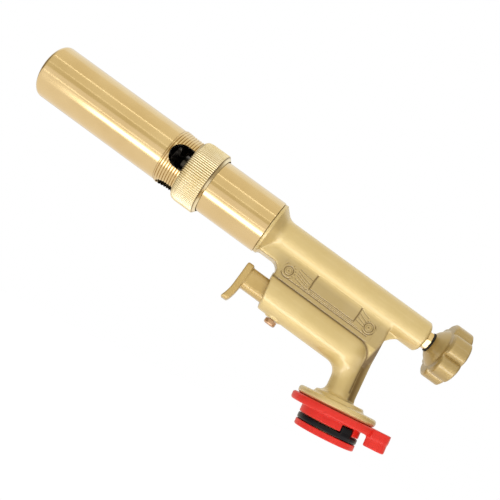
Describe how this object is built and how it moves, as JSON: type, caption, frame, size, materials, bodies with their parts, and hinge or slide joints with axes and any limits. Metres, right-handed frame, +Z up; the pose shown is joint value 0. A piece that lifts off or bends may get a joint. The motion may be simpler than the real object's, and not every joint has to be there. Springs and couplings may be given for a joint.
{
  "type": "kitchen torch",
  "caption": "Brass kitchen torch head with a long flame tube, knurled air ring, push trigger, lobed gas knob and bayonet cartridge connector.",
  "frame": {"origin": "centre of the cartridge seat under the connector, on the cartridge axis", "axes": "+Z up along the cartridge axis, +X towards the gas knob, flame towards -X, +Y to the torch's far side in the picture"},
  "size_m": [0.2043, 0.0358, 0.0974],
  "materials": {
    "cast_alloy": "satin gold lacquer on a zinc casting",
    "tube_brass": "satin polished",
    "knob_gold": "satin darker gold lacquer",
    "trigger_gold": "satin gold",
    "plain_brass": "machined",
    "blackened_steel": "heat blackened",
    "spring_steel": "bright",
    "copper": "copper plated",
    "ceramic": "unglazed white",
    "red_plastic": "satin red",
    "black_plastic": "satin black",
    "black_rubber": "matt"
  },
  "bodies": {
    "head": {"cast_body": "cast_alloy", "barrel_sleeve": "tube_brass", "flame_tube": "tube_brass", "burner_head": "plain_brass", "mixing_tube": "blackened_steel", "jet_pipe": "plain_brass", "pipe_washer": "copper", "gas_jet": "plain_brass", "electrode_insulator": "ceramic", "spark_electrode": "spring_steel", "ignition_lead": "black_rubber", "igniter_case": "black_plastic", "igniter_spring": "spring_steel", "igniter_screw": "copper", "valve_seat": "plain_brass", "gland_nut": "plain_brass", "spindle_washer": "black_rubber", "base_disc": "red_plastic", "connector_screw_1": "spring_steel", "connector_screw_2": "spring_steel", "connector_screw_3": "spring_steel", "inlet_stem": "plain_brass", "inlet_seal": "black_rubber", "inlet_filter": "spring_steel"},
    "trigger": {"trigger": "trigger_gold", "igniter_plunger": "spring_steel"},
    "air_slide": {"air_ring_rim": "tube_brass"},
    "air_ring": {"air_ring": "tube_brass"},
    "needle": {"valve_needle": "spring_steel", "needle_o_ring": "black_rubber"},
    "knob": {"valve_spindle": "spring_steel", "control_knob": "knob_gold", "knob_screw": "spring_steel"},
    "lock": {"lock_ring": "red_plastic", "bayonet_ring": "black_plastic"}
  },
  "joints": [
    {"name": "trigger_push", "type": "slide", "parent": "head", "child": "trigger", "axis": [0.9836, 0, -0.1805], "range_m": [0, 0.006], "stiffness_N_per_m": 900, "springref_m": -0.004, "deforming": ["igniter_spring"]},
    {"name": "air_ring_travel", "type": "slide", "parent": "head", "child": "air_slide", "axis": [-0.9836, 0, 0.1805], "range_m": [0, 0.0084]},
    {"name": "air_ring_turn", "type": "hinge", "parent": "air_slide", "child": "air_ring", "pos_m": [-0.09, 0, 0.07232], "axis": [-0.9836, 0, 0.1805], "range_deg": [0, 2629.6]},
    {"name": "needle_travel", "type": "slide", "parent": "head", "child": "needle", "axis": [0.9836, 0, -0.1805], "range_m": [0, 0.0012]},
    {"name": "knob_turn", "type": "hinge", "parent": "needle", "child": "knob", "pos_m": [0.0318, 0, 0.05068], "axis": [0.9836, 0, -0.1805], "range_deg": [0, 540]},
    {"name": "lock_turn", "type": "hinge", "parent": "head", "child": "lock", "pos_m": [0, 0, 0.008], "axis": [0, 0, 1], "range_deg": [0, 35]}
  ],
  "couplings": [
    {"joint": "air_ring_turn", "follows": "air_ring_travel", "rad_per_m": 5463.6},
    {"joint": "knob_turn", "follows": "needle_travel", "rad_per_m": 7854}
  ]
}
